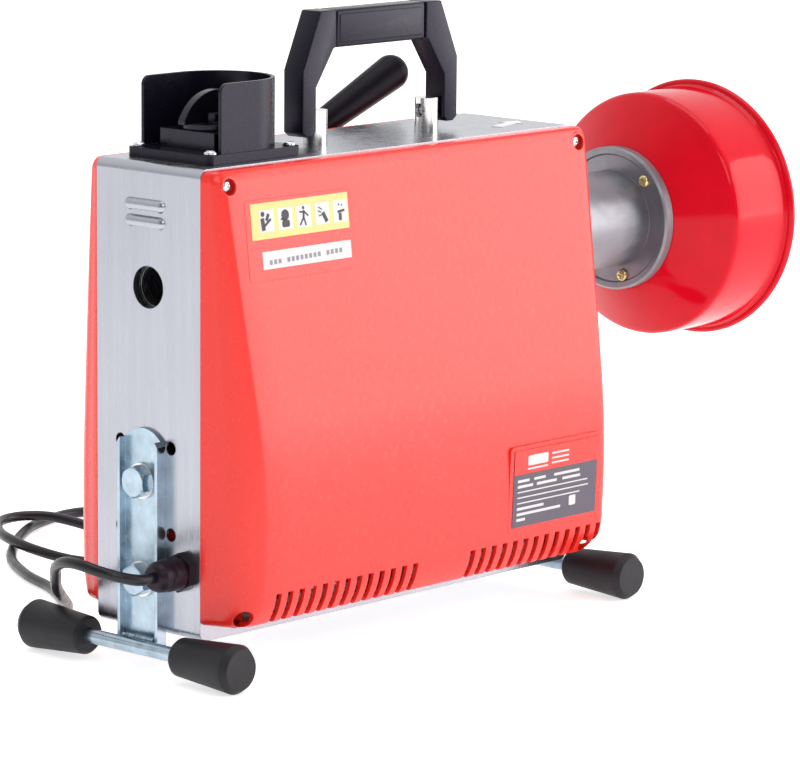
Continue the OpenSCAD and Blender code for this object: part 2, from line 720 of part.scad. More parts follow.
module motor_rotor() color("silver") at_motor() {
    rod_x(28, 270, shaft_r);
    ring_x(112, 208, 32.4, shaft_r - eps);
}

module cooling_fan() color("#303036") at_motor() {
    ring_x(254, 268, 14, shaft_r);
    ring_x(254, 256, 46, 13);
    for (a = [0 : 40 : 320]) rotate([a, 0, 0]) translate([255, -1, 13]) cube([12, 2, 33]);
}

module motor_mount() color("slategray") at_motor() difference() {
    union() {
        translate([96, -40, -motor_z + sheet_t]) cube([130, 80, 4]);
        for (x = [100, 206]) translate([x, -34, -motor_z + sheet_t]) cube([14, 68, 60]);
    }
    rod_x(90, 240, motor_r);
    translate([118, -24, -motor_z]) cube([84, 48, 10]);
}

module capacitor() color("gainsboro") at_motor() {
    rod_x(92, 168, 17, 0, motor_r + 19);
    difference() {
        translate([110, -14, motor_r - 6]) cube([30, 28, 14]);
        rod_x(100, 150, motor_r);
    }
}

// ---- power cord ----------------------------------------------------------------

module at_gland() at_frame() translate([0, gland_y, gland_z]) children();

module gland_body() color("#1d1c20") at_gland() {
    difference() {
        hex_x(-6, 0, 23, 0, 0);
        rod_x(-7, 1, 4.2);
    }
    difference() {
        rod_x(0, 12, 8);
        rod_x(-1, 13, 4.2);
    }
    difference() {
        hex_x(sheet_t, 8, 22, 0, 0);
        rod_x(0, 9, 4.2);
    }
}

module gland_cap() color("#26242a") at_gland() turn_x([[4.2, -6], [11, -6], [11.3, -8], [11, -16],
    [9.8, -17], [9.8, -18.5], [10.6, -19.5], [10.2, -24], [8.6, -27.6], [7, -gland_l],
    [0, -gland_l], [0, -gland_l + 3], [4.2, -gland_l + 3]]);

function unit(v) = v / norm(v);
function route_dir(p, i) = unit(p[min(i + 1, len(p) - 1)] - p[max(i - 1, 0)]);

// Catmull-Rom points between the route's own points.
function smooth_point(p, i, t) =
    let (n = len(p) - 1, a = p[max(i - 1, 0)], b = p[i], c = p[i + 1], d = p[min(i + 2, n)])
    0.5 * ((2 * b) + (c - a) * t + (2 * a - 5 * b + 4 * c - d) * t * t
        + (3 * b - a - 3 * c + d) * t * t * t);
function smooth_route(p, k) = concat(
    [for (i = [0 : len(p) - 2], j = [0 : k - 1]) smooth_point(p, i, j / k)], [p[len(p) - 1]]);

module sweep(path, r, sides) {
    n = len(path);
    rings = [for (i = [0 : n - 1]) let (t = route_dir(path, i), u = unit(cross([0, 0, 1], t)),
        v = cross(t, u)) for (j = [0 : sides - 1])
            path[i] + r * (cos(360 * j / sides) * u + sin(360 * j / sides) * v)];
    walls = [for (i = [0 : n - 2], j = [0 : sides - 1]) let (k = (j + 1) % sides)
        [i * sides + j, (i + 1) * sides + j, (i + 1) * sides + k, i * sides + k]];
    caps = [[for (j = [0 : sides - 1]) j],
        [for (j = [sides - 1 : -1 : 0]) (n - 1) * sides + j]];
    polyhedron(rings, concat(walls, caps), convexity = 6);
}

module cord_tube() color("#26252b") sweep(smooth_route(cord_route, 2), cord_d / 2, 8);

module cord_coil() color("#26252b") translate([coil_centre[0], coil_centre[1], 0])
    rotate_extrude($fn = 64) translate([coil_r - coil_half_w, 0]) square([2 * coil_half_w, coil_h]);

module plug_body() color("#26252b") translate(plug_at) intersection() {
    turn_x([[0, -44], [5, -44], [7, -18], [12, -14], [14, 0], [14, 6], [12.5, 8], [0, 8]]);
    translate([-50, -20, -10]) cube([60, 40, 20]);
}

module plug_prongs() color("gold") translate(plug_at) {
    for (y = [-6.4, 6.4]) translate([8, y - 0.75, -1]) cube([17, 1.5, 6.3]);
    rod_x(8, 28, 2.4, 0, -6);
}

// ---- assembly ------------------------------------------------------------------

frame_shell();
near_cover();
far_cover();
cover_screws();
hazard_label();
serial_label();
rating_plate();
arrow_label();
front_foot_bracket();
rear_foot_bracket();
rubber_feet();
bracket_bolts();
bracket_washers();
bracket_nuts();
switch_guard();
guard_screws();
switch_body();
switch_knob();
handle_posts();
post_screws();
handle_body();
handle_grip();
handle_screws();
lever_bracket();
lever_bushes();
lever_shaft();
lever_arm();
lever_grip();
clutch_fork();
thrust_collar();
release_bearing();
clutch_sleeve();
jaw_head();
jaw_1();
jaw_2();
jaw_3();
spindle();
spindle_bearings();
front_bearing_housing();
driven_pulley();
drive_belt();
neck_housing();
neck_screws();
bowl_guard();
bowl_screws();
motor_housing();
motor_end_bells();
motor_bearings();
stator_core();
motor_rotor();
cooling_fan();
drive_pulley();
motor_mount();
capacitor();
gland_body();
gland_cap();
cord_tube();
cord_coil();
plug_body();
plug_prongs();
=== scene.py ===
"""Looks of the drain cleaning machine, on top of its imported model.

Lengths in the tables and functions below are in millimetres of the machine's own frame, whose
origin is at the bottom of the front wall; at() turns them into metres of the model's frame.
"""
import json
import math
import random

import bmesh
import bpy
from mathutils import Matrix, Vector


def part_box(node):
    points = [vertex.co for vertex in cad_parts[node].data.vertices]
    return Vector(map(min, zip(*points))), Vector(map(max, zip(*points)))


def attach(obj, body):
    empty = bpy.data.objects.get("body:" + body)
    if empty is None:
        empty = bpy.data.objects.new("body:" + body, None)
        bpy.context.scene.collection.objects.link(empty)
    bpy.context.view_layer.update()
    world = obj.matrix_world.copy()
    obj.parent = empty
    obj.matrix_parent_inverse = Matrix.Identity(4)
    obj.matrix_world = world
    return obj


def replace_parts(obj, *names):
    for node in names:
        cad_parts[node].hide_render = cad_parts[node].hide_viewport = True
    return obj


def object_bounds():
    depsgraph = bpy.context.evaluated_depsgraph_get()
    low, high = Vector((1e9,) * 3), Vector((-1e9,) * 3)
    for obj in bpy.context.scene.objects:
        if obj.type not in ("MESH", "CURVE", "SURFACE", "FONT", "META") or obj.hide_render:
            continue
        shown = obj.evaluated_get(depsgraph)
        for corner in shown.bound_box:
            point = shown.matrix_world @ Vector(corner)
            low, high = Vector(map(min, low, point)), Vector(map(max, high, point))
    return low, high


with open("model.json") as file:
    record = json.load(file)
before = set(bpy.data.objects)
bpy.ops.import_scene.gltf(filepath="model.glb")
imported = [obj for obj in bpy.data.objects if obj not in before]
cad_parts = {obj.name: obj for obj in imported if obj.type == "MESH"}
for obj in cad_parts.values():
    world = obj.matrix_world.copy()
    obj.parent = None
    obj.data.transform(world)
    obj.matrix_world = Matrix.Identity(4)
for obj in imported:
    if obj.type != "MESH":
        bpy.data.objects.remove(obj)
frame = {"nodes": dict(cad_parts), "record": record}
CAD_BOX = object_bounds()
NODES = frame["nodes"]
ROOT = "machine"
MM = 0.001

# ---- places ---------------------------------------------------------------------------
COVER_LO, COVER_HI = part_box("near_cover")
FRAME_LO, FRAME_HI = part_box("frame_shell")
X0, Z0 = COVER_LO.x, FRAME_LO.z
HALF_W = FRAME_HI.y / MM
FRAME_H = (FRAME_HI.z - FRAME_LO.z) / MM
FRAME_L = 366.0
COVER_L = (COVER_HI.x - COVER_LO.x) / MM
SPINDLE_Z = (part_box("spindle")[0].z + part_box("spindle")[1].z) / 2 / MM - Z0 / MM


def at(x, y, z):
    """A point of the machine's own frame, in metres of the model's frame."""
    return Vector((X0 + x * MM, y * MM, Z0 + z * MM))


# ---- camera and light -----------------------------------------------------------------
CAMERA_AT = (-2030.5, -2087.1, 681.0)
YAW, PITCH, ROLL = 0.7427, 0.1767, 0.0084
LENS = 203.7
WORLD_WHITE, WORLD_DIM = 1.02, 0.28


def make_camera():
    """The camera of the reference view, slightly rolled."""
    aim = Vector((math.cos(YAW) * math.cos(PITCH), math.sin(YAW) * math.cos(PITCH), -math.sin(PITCH)))
    level = Vector((math.sin(YAW), -math.cos(YAW), 0))
    upright = level.cross(aim)
    right = level * math.cos(ROLL) + upright * math.sin(ROLL)
    up = upright * math.cos(ROLL) - level * math.sin(ROLL)
    data = bpy.data.cameras.new("camera")
    data.lens, data.sensor_width = LENS, 36
    data.clip_start, data.clip_end = 0.1, 30
    camera = bpy.data.objects.new("camera", data)
    bpy.context.collection.objects.link(camera)
    turn = Matrix((right, up, -aim)).transposed().to_4x4()
    camera.matrix_world = Matrix.Translation(at(*CAMERA_AT)) @ turn
    bpy.context.scene.camera = camera


def area_light(name, place, size, power, tint=(1, 1, 1)):
    """A soft box that faces the middle of the machine."""
    data = bpy.data.lights.new(name, "AREA")
    data.shape, data.size, data.size_y = "RECTANGLE", size[0], size[1]
    data.energy, data.color = power, tint
    light = bpy.data.objects.new(name, data)
    bpy.context.collection.objects.link(light)
    light.location = place
    light.rotation_mode = "QUATERNION"
    light.rotation_quaternion = (Vector((0, 0, 0.2)) - Vector(place)).to_track_quat("-Z", "Y")


def make_studio():
    """White tent behind the machine, dimmer towards the camera, with one broad soft box."""
    world = bpy.data.worlds.new("studio")
    world.use_nodes = True
    tree = world.node_tree
    place = tree.nodes.new("ShaderNodeTexCoord")
    facing = tree.nodes.new("ShaderNodeVectorMath")
    facing.operation = "DOT_PRODUCT"
    facing.inputs[1].default_value = (math.cos(YAW), math.sin(YAW), 0.35)
    level = tree.nodes.new("ShaderNodeMapRange")
    level.interpolation_type = "SMOOTHSTEP"
    level.inputs["From Min"].default_value, level.inputs["From Max"].default_value = -0.5, 0.45
    level.inputs["To Min"].default_value, level.inputs["To Max"].default_value = WORLD_DIM, WORLD_WHITE
    tree.links.new(place.outputs["Generated"], facing.inputs[0])
    tree.links.new(facing.outputs["Value"], level.inputs["Value"])
    tree.links.new(level.outputs["Result"], tree.nodes["Background"].inputs["Strength"])
    tree.nodes["Background"].inputs["Color"].default_value = (1, 1, 1, 1)
    bpy.context.scene.world = world
    bpy.context.scene.view_settings.view_transform = "Standard"
    area_light("soft_box", (2.3, -2.2, 0.95), (2.8, 1.9), 56, (0.97, 0.96, 0.93))
    area_light("key", (-1.5, -2.6, 2.3), (1.5, 1.5), 22)
    area_light("left", (-3.0, 0.6, 1.2), (1.4, 2.0), 4)
    area_light("top", (0.3, 0.0, 2.8), (2.0, 1.6), 20)


def make_floor():
    """Plain pale floor with a little light of its own."""
    mesh = bpy.data.meshes.new("floor")
    half = 9
    mesh.from_pydata([(-half, -half, 0), (half, -half, 0), (half, half, 0), (-half, half, 0)], [],
                     [(0, 1, 2, 3)])
    floor = bpy.data.objects.new("floor", mesh)
    bpy.context.collection.objects.link(floor)
    tone = bpy.data.materials.new("floor")
    tone.use_nodes = True
    shader = tone.node_tree.nodes["Principled BSDF"]
    shader.inputs["Base Color"].default_value = (0.9, 0.9, 0.9, 1)
    shader.inputs["Roughness"].default_value = 0.6
    shader.inputs["Emission Color"].default_value = (1, 1, 1, 1)
    shader.inputs["Emission Strength"].default_value = 0.62
    mesh.materials.append(tone)


# ---- materials ------------------------------------------------------------------------
class Net:
    """A material's node tree, with short calls for the nodes that the finishes share."""

    def __init__(self, name, color, rough, metal=0.0, coat=0.0, spec=0.5):
        self.material = bpy.data.materials.new(name)
        self.material.use_nodes = True
        self.nodes = self.material.node_tree.nodes
        self.links = self.material.node_tree.links
        self.shader = self.nodes["Principled BSDF"]
        self.set(**{"Base Color": (*color, 1), "Roughness": rough, "Metallic": metal,
                    "Coat Weight": coat, "Specular IOR Level": spec})
        self.color, self.rough = color, rough
        self.place = self.add("ShaderNodeTexCoord").outputs["Object"]
        self.height = None

    def set(self, **values):
        for name, value in values.items():
            self.shader.inputs[name].default_value = value

    def add(self, kind, **values):
        node = self.nodes.new(kind)
        for name, value in values.items():
            setattr(node, name, value)
        return node

    def link(self, a, b):
        self.links.new(a, b)

    def stretched(self, scale):
        mapping = self.add("ShaderNodeMapping")
        mapping.inputs["Scale"].default_value = scale
        self.link(self.place, mapping.inputs["Vector"])
        return mapping.outputs["Vector"]

    def noise(self, scale, detail=4.0, stretch=(1, 1, 1), rough=0.55):
        node = self.add("ShaderNodeTexNoise")
        node.inputs["Scale"].default_value = scale
        node.inputs["Detail"].default_value = detail
        node.inputs["Roughness"].default_value = rough
        self.link(self.stretched(stretch), node.inputs["Vector"])
        return node.outputs["Fac"]

    def ramp(self, fac, low, high):
        """Maps the middle of a noise's range to low ... high."""
        node = self.add("ShaderNodeMapRange")
        node.inputs["From Min"].default_value, node.inputs["From Max"].default_value = 0.3, 0.7
        node.inputs["To Min"].default_value, node.inputs["To Max"].default_value = low, high
        self.link(fac, node.inputs["Value"])
        return node.outputs["Result"]

    def mix(self, fac, a, b):
        node = self.add("ShaderNodeMix", data_type="RGBA")
        self.link(fac, node.inputs["Factor"])
        for socket, value in ((node.inputs[6], a), (node.inputs[7], b)):
            if isinstance(value, tuple):
                socket.default_value = (*value, 1)
            else:
                self.link(value, socket)
        return node.outputs[2]

    def shade(self, fac, spread):
        """Base colour that wanders by a fraction either way."""
        dark = tuple(c * (1 - spread) for c in self.color)
        light = tuple(min(1.0, c * (1 + spread)) for c in self.color)
        self.link(self.mix(self.ramp(fac, 0, 1), dark, light), self.shader.inputs["Base Color"])

    def vary_rough(self, fac, spread):
        self.link(self.ramp(fac, max(0.02, self.rough - spread), self.rough + spread),
                  self.shader.inputs["Roughness"])

    def bump(self, fac, strength, distance):
        """Adds relief on top of what the normal already has."""
        node = self.add("ShaderNodeBump")
        node.inputs["Strength"].default_value = strength
        node.inputs["Distance"].default_value = distance
        self.link(fac, node.inputs["Height"])
        if self.height is not None:
            self.link(self.height, node.inputs["Normal"])
        self.height = node.outputs["Normal"]
        self.link(self.height, self.shader.inputs["Normal"])

    def round_edges(self, radius):
        """Softened edges, without any change of shape."""
        node = self.add("ShaderNodeBevel", samples=4)
        node.inputs["Radius"].default_value = radius
        self.height = node.outputs["Normal"]
        self.link(self.height, self.shader.inputs["Normal"])


def moulded(name, color, rough, coat=0.0, grain=0.25, edge=0.0008, spec=0.5, sheen=(1, 1, 1),
            drift=0.05):
    """Moulded plastic: fine grain, faint clouds of colour and gloss, and softened edges."""
    net = Net(name, color, rough, coat=coat, spec=spec)
    net.set(**{"Specular Tint": (*sheen, 1)})
    if edge:
        net.round_edges(edge)
    net.shade(net.noise(60, 5), drift)
    net.vary_rough(net.noise(140, 4), 0.6 * drift)
    net.bump(net.noise(1400, 3), grain, 0.00012)
    return net.material


def plated(name, color, rough, mottle=0.16):
    """Zinc plating: crystalline mottling and cloudy reflections."""
    net = Net(name, color, rough, metal=1.0)
    net.round_edges(0.0005)
    cloud = net.mix(net.noise(90, 6), (0, 0, 0), (1, 1, 1))
    net.shade(cloud, mottle)
    net.vary_rough(net.noise(45, 6), 0.10)
    net.bump(net.noise(700, 4), 0.18, 0.00008)
    return net.material


def rolled_sheet(name, color, rough):
    """Satin sheet metal with rolling grain along X and faint clouds."""
    net = Net(name, color, rough, metal=1.0)
    net.round_edges(0.0006)
    net.shade(net.noise(7, 3), 0.05)
    net.vary_rough(net.noise(60, 4, (2, 2, 0.12)), 0.05)
    net.bump(net.noise(700, 3, (1.5, 1.5, 0.05)), 0.06, 0.00005)
    net.bump(net.noise(8, 1), 0.10, 0.0009)
    return net.material


def turned(name, color, rough, pitch=2600):
    """Turned metal: fine rings across the X axis."""
    net = Net(name, color, rough, metal=1.0)
    net.round_edges(0.0004)
    net.shade(net.noise(40, 5), 0.08)
    net.vary_rough(net.noise(300, 3, (8, 0.2, 0.2)), 0.08)
    net.bump(net.noise(pitch, 2, (1, 0.02, 0.02)), 0.22, 0.00005)
    return net.material


def cast(name, color, rough):
    """As-cast alloy: sandy skin with a few darker patches."""
    net = Net(name, color, rough, metal=0.85)
    net.round_edges(0.0008)
    net.shade(net.noise(30, 6), 0.16)
    net.vary_rough(net.noise(80, 4), 0.08)
    net.bump(net.noise(650, 5), 0.45, 0.00025)
    net.bump(net.noise(90, 3), 0.25, 0.0004)
    return net.material


def rubber(name, color, rough, edge=0.0008):
    """Rubber: dusty, uneven and faintly pitted."""
    net = Net(name, color, rough, spec=0.35)
    if edge:
        net.round_edges(edge)
    net.shade(net.noise(35, 5), 0.35)
    net.vary_rough(net.noise(70, 4), 0.08)
    net.bump(net.noise(900, 4), 0.30, 0.00015)
    return net.material


def printed(name, color, rough):
    """Printed film, nearly even, with the finest texture."""
    net = Net(name, color, rough)
    net.shade(net.noise(60, 4), 0.04)
    net.vary_rough(net.noise(200, 3), 0.05)
    net.bump(net.noise(1600, 2), 0.08, 0.00005)
    return net.material


# Tint of the gloss on dark plastics.
VIOLET = (0.82, 0.76, 1.0)
FINISHES = {
    "frame_metal": lambda n: rolled_sheet(n, (0.42, 0.43, 0.48), 0.27),
    "red_plastic": lambda n: moulded(n, (0.82, 0.025, 0.016), 0.27, coat=0.05, grain=0.05, drift=0.015),
    "zinc": lambda n: plated(n, (0.72, 0.73, 0.76), 0.24, 0.08),
    "yellow_label": lambda n: printed(n, (0.68, 0.58, 0.20), 0.42),
    "white_label": lambda n: printed(n, (0.64, 0.63, 0.64), 0.45),
    "grey_label": lambda n: printed(n, (0.085, 0.070, 0.100), 0.40),
    "silver_label": lambda n: printed(n, (0.80, 0.80, 0.82), 0.35),
    "blue_zinc": lambda n: plated(n, (0.40, 0.50, 0.58), 0.26, 0.20),
    "foot_rubber": lambda n: rubber(n, (0.011, 0.010, 0.014), 0.52),
    "dark_plastic": lambda n: moulded(n, (0.005, 0.004, 0.009), 0.27, grain=0.06, spec=0.28, sheen=VIOLET),
    "black_plastic": lambda n: moulded(n, (0.004, 0.004, 0.007), 0.22, grain=0.06, spec=0.4, sheen=VIOLET),
    "post_steel": lambda n: turned(n, (0.74, 0.73, 0.72), 0.16),
    "plate_steel": lambda n: plated(n, (0.20, 0.21, 0.23), 0.40),
    "bronze": lambda n: turned(n, (0.52, 0.36, 0.15), 0.40),
    "turned_steel": lambda n: turned(n, (0.56, 0.57, 0.59), 0.26),
    "grip_plastic": lambda n: moulded(n, (0.006, 0.004, 0.006), 0.34, spec=0.08, sheen=VIOLET),
    "bearing_steel": lambda n: turned(n, (0.66, 0.67, 0.68), 0.18),
    "jaw_steel": lambda n: plated(n, (0.34, 0.34, 0.36), 0.36),
    "cast_alloy": lambda n: cast(n, (0.27, 0.27, 0.30), 0.38),
    "pulley_iron": lambda n: turned(n, (0.24, 0.24, 0.26), 0.38),
    "belt_rubber": lambda n: rubber(n, (0.018, 0.018, 0.018), 0.60),
    "bowl_plastic": lambda n: moulded(n, (0.66, 0.002, 0.014), 0.10, grain=0.02, edge=0, spec=0.20),
    "yellow_zinc": lambda n: plated(n, (0.72, 0.60, 0.30), 0.28, 0.22),
    "motor_paint": lambda n: moulded(n, (0.10, 0.12, 0.15), 0.40),
    "core_steel": lambda n: turned(n, (0.36, 0.33, 0.31), 0.42, 5200),
    "silver_can": lambda n: turned(n, (0.72, 0.73, 0.75), 0.25),
    "gland_plastic": lambda n: moulded(n, (0.012, 0.006, 0.009), 0.34, spec=0.25, sheen=VIOLET),
    "cord_rubber": lambda n: rubber(n, (0.010, 0.009, 0.013), 0.32, edge=0),
    "prong_brass": lambda n: plated(n, (0.70, 0.54, 0.22), 0.25, 0.10),
}


def make_materials():
    """Builds every finish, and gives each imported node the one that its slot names."""
    made = {slot: build(slot) for slot, build in FINISHES.items()}
    made["sign_print"] = printed("sign_print", (0.030, 0.025, 0.038), 0.50)
    made["faint_print"] = printed("faint_print", (0.22, 0.21, 0.24), 0.50)
    for part in frame["record"]["subparts"]:
        node = NODES[part["node"]]
        for i in range(len(node.data.materials)):
            node.material_slots[i].material = made[part["material_slot"]]
        if not node.data.materials:
            node.data.materials.append(made[part["material_slot"]])
    return made


# ---- mesh helpers ---------------------------------------------------------------------
def new_piece(name, verts, faces, slot, body=ROOT, smooth=40, look=None):
    """A piece with outward faces and smooth shading, riding a body."""
    mesh = bpy.data.meshes.new(name)
    mesh.from_pydata([tuple(v) for v in verts], [], faces)
    mesh.validate()
    obj = bpy.data.objects.new(name, mesh)
    bpy.context.collection.objects.link(obj)
    mesh.materials.append(MATERIALS[look or slot])
    bm = bmesh.new()
    bm.from_mesh(mesh)
    bmesh.ops.recalc_face_normals(bm, faces=bm.faces)
    bm.to_mesh(mesh)
    bm.free()
    mesh.shade_smooth()
    mesh.set_sharp_from_angle(angle=math.radians(smooth))
    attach(obj, body)
    return obj


def use(obj, kind, **values):
    """Adds a modifier and applies it at once."""
    mod = obj.modifiers.new(kind.lower(), kind)
    for name, value in values.items():
        setattr(mod, name, value)
    deps = bpy.context.evaluated_depsgraph_get()
    mesh = bpy.data.meshes.new_from_object(obj.evaluated_get(deps))
    obj.modifiers.clear()
    obj.data = mesh
    return obj


def soften(obj, width, segments):
    """Rounds an object's edges, by a width in mm."""
    use(obj, "BEVEL", width=width * MM, segments=segments, limit_method="ANGLE",
        angle_limit=math.radians(35), harden_normals=False)
    obj.data.shade_smooth()
    obj.data.set_sharp_from_angle(angle=math.radians(50))
    return obj


def prism(name, outline, lift, slot, body=ROOT):
    """Extrudes an outline of 2-D points: lift(point, 0 or 1) gives the two ends in 3-D."""
    n = len(outline)
    verts = [lift(p, 0) for p in outline] + [lift(p, 1) for p in outline]
    faces = [tuple(range(n))[::-1], tuple(range(n, 2 * n))]
    faces += [(i, (i + 1) % n, n + (i + 1) % n, n + i) for i in range(n)]
    return new_piece(name, verts, faces, slot, body)


def weld(obj):
    """Merges points that fall together, and drops the empty faces between them."""
    bm = bmesh.new()
    bm.from_mesh(obj.data)
    bmesh.ops.remove_doubles(bm, verts=bm.verts, dist=1e-6)
    bmesh.ops.dissolve_degenerate(bm, edges=bm.edges, dist=1e-6)
    bmesh.ops.recalc_face_normals(bm, faces=bm.faces)
    bm.to_mesh(obj.data)
    bm.free()


def joined(base, others, smooth=40):
    """Puts the other pieces' meshes into the base piece's mesh."""
    bm = bmesh.new()
    bm.from_mesh(base.data)
    for other in others:
        bm.from_mesh(other.data)
        bpy.data.objects.remove(other)
    bm.to_mesh(base.data)
    bm.free()
    base.data.shade_smooth()
    base.data.set_sharp_from_angle(angle=math.radians(smooth))
    return base


def arc(cx, cy, r, a0, a1, n):
    """Points of an arc in n steps, between two angles in degrees."""
    steps = [math.radians(a0 + (a1 - a0) * i / n) for i in range(n + 1)]
    return [(cx + r * math.cos(a), cy + r * math.sin(a)) for a in steps]


def lathe(name, profile, axis, slot, body=ROOT, steps=96, closed=False):
    """Turns (radius, along) points round an axis: axis(radius, angle, along) gives the point."""
    verts, faces, n = [], [], len(profile)
    for i in range(steps):
        a = 2 * math.pi * i / steps
        verts += [axis(r, a, s) for r, s in profile]
    for i in range(steps):
        for j in range(n if closed else n - 1):
            a, b = i * n + j, i * n + (j + 1) % n
            c, d = ((i + 1) % steps) * n + (j + 1) % n, ((i + 1) % steps) * n + j
            faces.append((a, b, c, d))
    obj = new_piece(name, verts, faces, slot, body)
    bm = bmesh.new()
    bm.from_mesh(obj.data)
    bmesh.ops.remove_doubles(bm, verts=bm.verts, dist=1e-7)
    bmesh.ops.recalc_face_normals(bm, faces=bm.faces)
    bm.to_mesh(obj.data)
    bm.free()
    obj.data.set_sharp_from_angle(angle=math.radians(40))
    return obj


def along_x(y, z):
    """The axis that a lathe turns round, parallel to X."""
    return lambda r, a, s: at(s, y + r * math.cos(a), z + r * math.sin(a))


# ---- power cord -----------------------------------------------------------------------
# The route's points in metres, as the model has them.
CORD_ROUTE = [
    (-0.297, -0.033, 0.0695), (-0.3085, -0.0322, 0.07), (-0.32, -0.027, 0.073),
    (-0.3285, -0.017, 0.0765), (-0.3325, -0.003, 0.0795), (-0.331, 0.0125, 0.0785),
    (-0.3235, 0.0285, 0.072), (-0.311, 0.043, 0.061), (-0.294, 0.06, 0.048),
    (-0.271, 0.0795, 0.0355), (-0.241, 0.106, 0.0205), (-0.21, 0.141, 0.0075),
    (-0.183, 0.174, 0.004), (-0.1615, 0.209, 0.004), (-0.146, 0.249, 0.004),
    (-0.119, 0.295, 0.004), (-0.079, 0.335, 0.004), (-0.036, 0.368, 0.004),
    (-0.003, 0.382, 0.004), (0.024, 0.387, 0.004), (0.0455, 0.3805, 0.004),
    (0.059, 0.3675, 0.004), (0.0635, 0.35, 0.004), (0.0585, 0.3325, 0.004),
    (0.046, 0.32, 0.004), (0.0285, 0.315, 0.004), (0.011, 0.3195, 0.0045),
    (-0.003, 0.3315, 0.006), (-0.01, 0.3475, 0.009), (-0.0185, 0.363, 0.0117),
    (-0.032, 0.3742, 0.0125), (-0.049, 0.3765, 0.0125), (-0.0655, 0.3685, 0.0123),
    (-0.082, 0.349, 0.012), (-0.0955, 0.323, 0.012), (-0.098, 0.29, 0.0085),
    (-0.086, 0.255, 0.004), (-0.056, 0.22, 0.004), (-0.01, 0.189, 0.004),
    (0.042, 0.178, 0.004)]
CORD_D = 0.0075
COIL_AT = (0.060, 0.230)
COIL_TURNS = [0.0525, 0.0450, 0.0375, 0.0410, 0.0485]
TURN_STEPS = 16


def coil_points():
    """Turns wound inwards on the floor, then outwards on top of them."""
    layer = [0.004, 0.004, 0.004, 0.0112, 0.0112]
    points = []
    for k in range(len(COIL_TURNS)):
        for i in range(TURN_STEPS):
            t = i / TURN_STEPS
            nxt = min(k + 1, len(COIL_TURNS) - 1)
            blend = max(0.0, (t - 0.6) / 0.4)
            r = COIL_TURNS[k] + (COIL_TURNS[nxt] - COIL_TURNS[k]) * blend
            z = layer[k] + (layer[nxt] - layer[k]) * blend
            a = 2 * math.pi * t - math.pi / 2
            points.append((COIL_AT[0] + r * math.cos(a), COIL_AT[1] + r * math.sin(a), z))
    return points


def catmull(points, k):
    """A smooth curve through the points, with k steps from each to the next."""
    out = []
    last = len(points) - 1
    for i in range(last):
        a, b = Vector(points[max(i - 1, 0)]), Vector(points[i])
        c, d = Vector(points[i + 1]), Vector(points[min(i + 2, last)])
        for j in range(k):
            t = j / k
            out.append(0.5 * (2 * b + (c - a) * t + (2 * a - 5 * b + 4 * c - d) * t * t
                              + (3 * b - a - 3 * c + d) * t * t * t))
    out.append(Vector(points[last]))
    return out


def make_cord():
    """The mains lead, from the gland through its coil to the plug."""
    plug_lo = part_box("plug_body")[0]
    plug_y = (plug_lo.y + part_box("plug_body")[1].y) / 2
    tail = [(0.060, 0.1815, 0.0112), (0.076, 0.1818, 0.0107), (plug_lo.x + 0.002, plug_y, 0.010)]
    path = catmull(CORD_ROUTE + coil_points()[1:] + tail, 4)
    for point in path:
        point.x, point.z = max(point.x, CAD_BOX[0][0] + CORD_D / 2), max(point.z, 0.004)
    curve = bpy.data.curves.new("power_cord", "CURVE")
    curve.dimensions, curve.bevel_depth, curve.bevel_resolution = "3D", CORD_D / 2, 5
    curve.use_fill_caps = True
    spline = curve.splines.new("POLY")
    spline.points.add(len(path) - 1)
    for point, place in zip(spline.points, path):
        point.co = (*place, 1)
    spline.use_smooth = True
    cord = bpy.data.objects.new("power_cord", curve)
    bpy.context.collection.objects.link(cord)
    curve.materials.append(MATERIALS["cord_rubber"])
    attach(cord, ROOT)
    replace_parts(cord, "cord_tube", "cord_coil")


# ---- side covers ----------------------------------------------------------------------
# Thickness at the top, where it is most, and where the lower rounding starts; their heights.
TOP_T, MAX_T, LOW_T = 13.0, 36.5, 34.0
TOP_Z, MAX_Z, LOW_Z = 300.0, 98.0, 38.0
LOW_R, LOW_ANGLE = 46.0, 34.0
COVER_Z0, COVER_Z1 = 11.0, 309.0
COVER_WALL = 3.0
# How far the crease between the two flat areas is rounded, above it and below it.
CREASE_SPAN = 45.0
NOSE_R, TOP_CORNER_R = 5.0, 6.0
VENT_STARTS, VENT_COUNT, VENT_PITCH, VENT_W = (37, 227), 13, 11, 5
VENT_TOP, VENT_IN = 31.5, 16.0
# The power in the curve of the front edge: 1 is an ellipse, 2 is a straight facet.
FACET = 1.35
SCREWS_AT = [(14, 299), (358, 299), (15, 17), (352, 17)]
RECESS_R, SEAT = 5.5, 8.0


def cover_t(z):
    """Thickness of a cover's flat areas at height z."""
    if z > MAX_Z:
        return MAX_T - (MAX_T - TOP_T) * (z - MAX_Z) / (TOP_Z - MAX_Z)
    return MAX_T - (MAX_T - LOW_T) * (MAX_Z - z) / (MAX_Z - LOW_Z)


def soft_t(z):
    """The same, with the crease between the two flat areas rounded off."""
    slopes = (MAX_T - TOP_T) / (TOP_Z - MAX_Z) + (MAX_T - LOW_T) / (MAX_Z - LOW_Z)
    near = max(0.0, CREASE_SPAN - abs(z - MAX_Z))
    return cover_t(z) - slopes * near * near / (4 * CREASE_SPAN)


